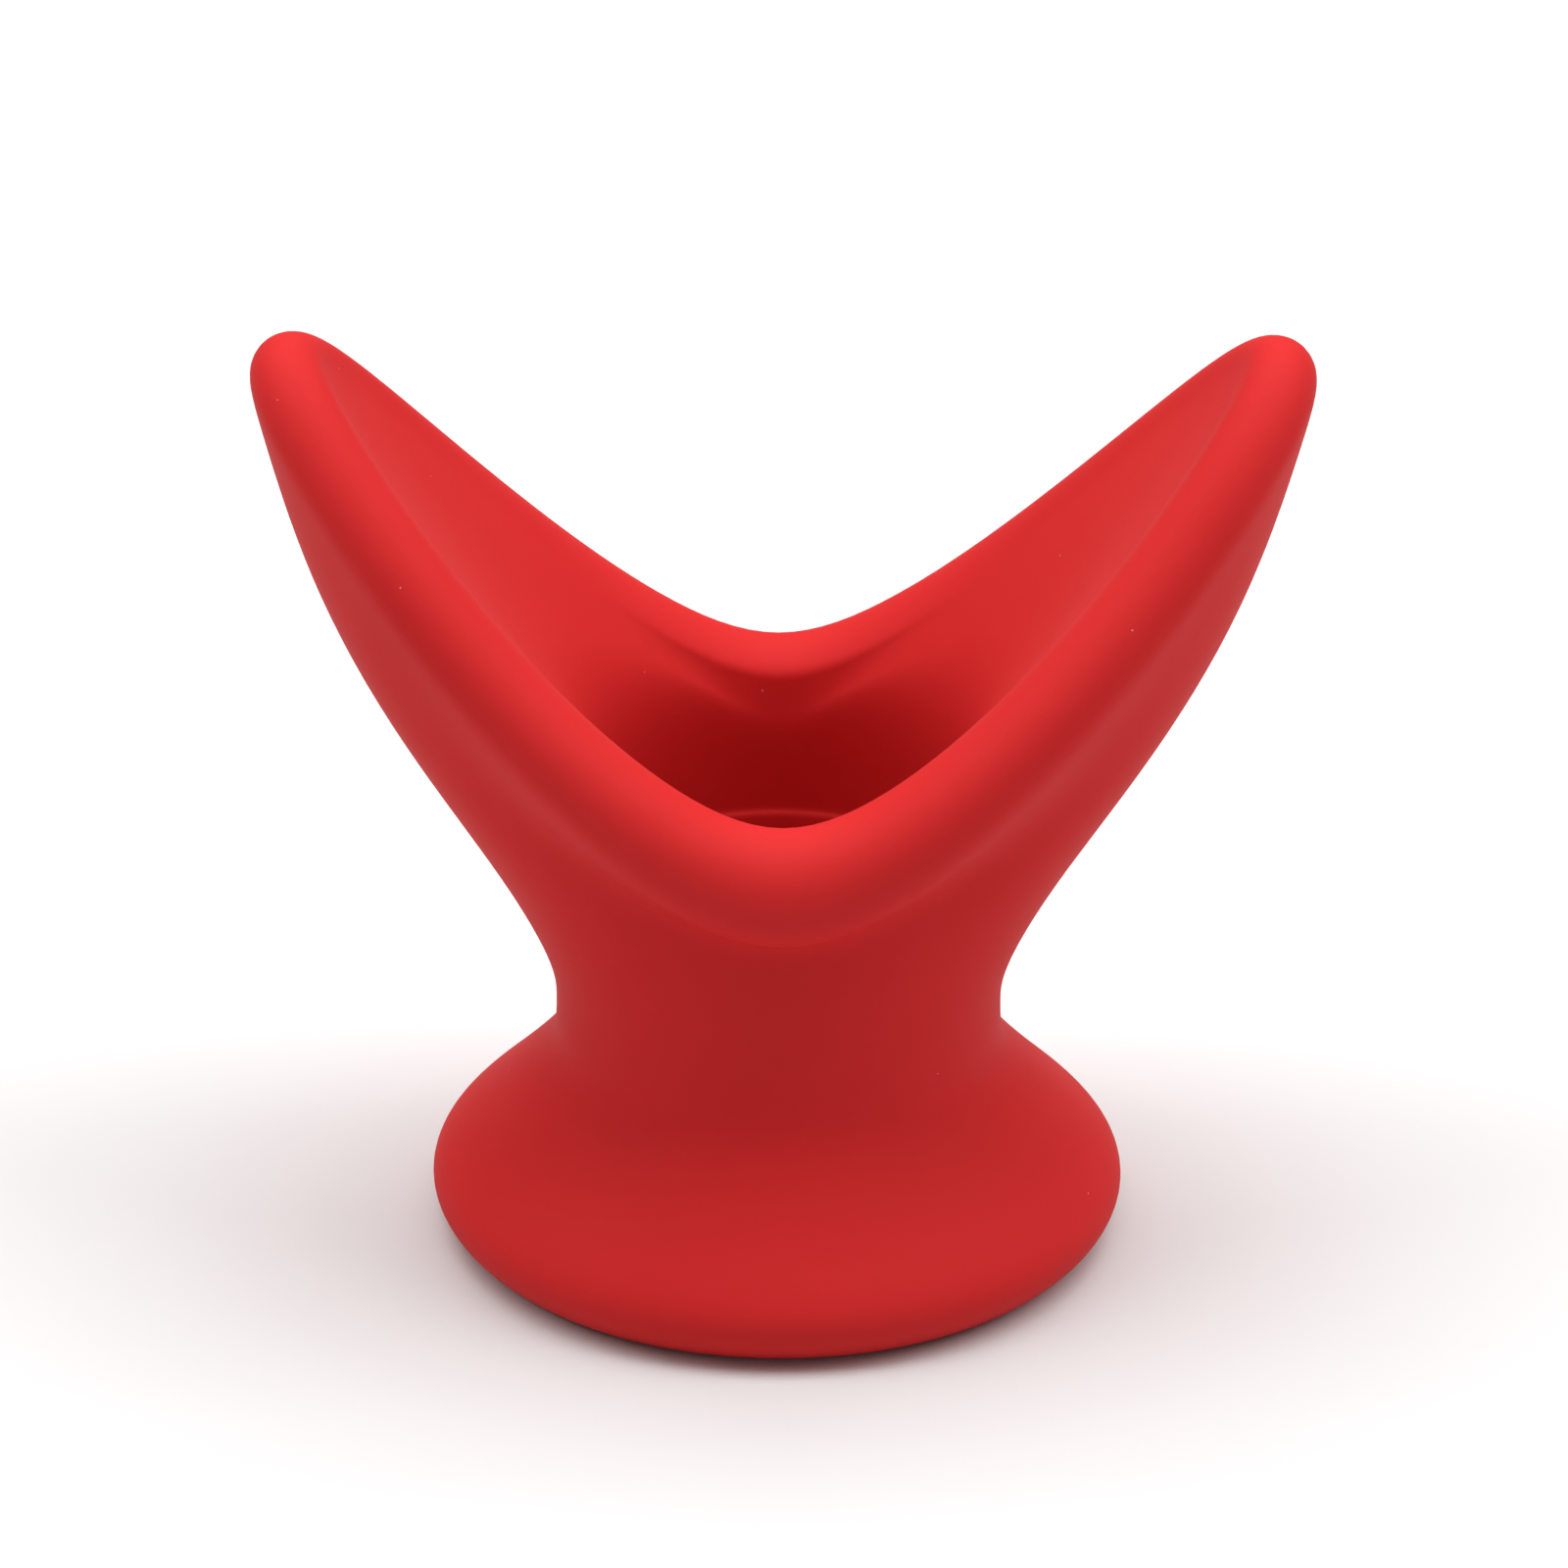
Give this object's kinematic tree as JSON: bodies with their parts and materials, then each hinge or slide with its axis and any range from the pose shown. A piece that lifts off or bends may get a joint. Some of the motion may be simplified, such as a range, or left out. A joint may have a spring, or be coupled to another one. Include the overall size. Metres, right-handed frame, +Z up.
{
  "type": "hollow silicone v-mouth plug",
  "caption": "Soft silicone plug with a round flared foot, a narrow neck and a through bore that opens into a V-shaped mouth between two thick-lipped wings.",
  "frame": {"origin": "centre of the foot's flat underside", "axes": "+Z up along the bore; +X towards the right wing, so X runs from wing tip to wing tip; Y runs from one valley of the mouth to the other, and -Y is the front"},
  "size_m": [0.0852, 0.0584, 0.0783],
  "materials": {
    "silicone": "soft matte silicone with a fine velvety surface"
  },
  "bodies": {
    "base": {"base": "silicone"},
    "left_wing": {"left_wing": "silicone"},
    "right_wing": {"right_wing": "silicone"}
  },
  "joints": [
    {"name": "left_wing_bend", "type": "hinge", "parent": "base", "child": "left_wing", "pos_m": [0, 0, 0.0451], "axis": [0, 1, 0], "range_deg": [0, 35], "stiffness_Nm_per_rad": 0.4},
    {"name": "right_wing_bend", "type": "hinge", "parent": "base", "child": "right_wing", "pos_m": [0, 0, 0.0451], "axis": [0, -1, 0], "range_deg": [0, 35], "stiffness_Nm_per_rad": 0.4}
  ]
}
